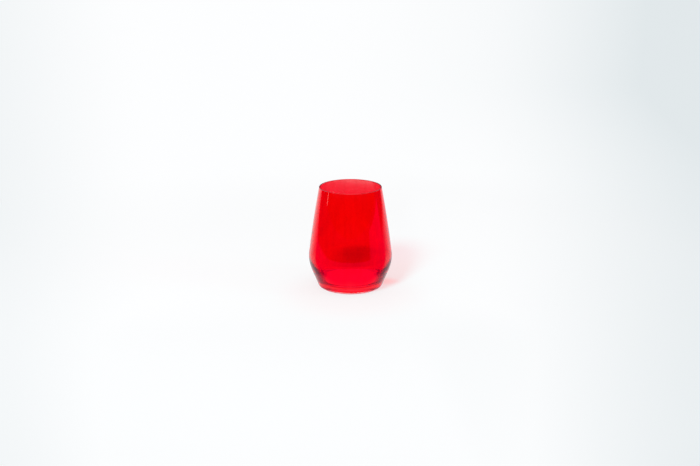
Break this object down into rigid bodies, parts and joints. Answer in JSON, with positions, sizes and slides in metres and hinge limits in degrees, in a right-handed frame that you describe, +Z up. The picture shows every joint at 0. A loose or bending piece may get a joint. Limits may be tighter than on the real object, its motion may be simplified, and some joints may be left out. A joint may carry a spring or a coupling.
{
  "type": "stemless wine glass",
  "caption": "Stemless wine glass: a clear glass vessel with a thick base, wide low belly and narrower rim, covered on the outside by a thin skin of transparent red glass.",
  "frame": {"origin": "centre of the standing ring, on the table", "axes": "+Z up along the axis of the glass, out of its mouth; the glass is round, so +X and +Y are free, and -Y faces the viewer of the picture"},
  "size_m": [0.089, 0.089, 0.109],
  "materials": {
    "clear_glass": "clear, smooth and fire-polished",
    "red_glass": "transparent bright red, smooth and glossy"
  },
  "bodies": {
    "root": {"clear_vessel": "clear_glass", "red_skin": "red_glass"}
  },
  "joints": []
}
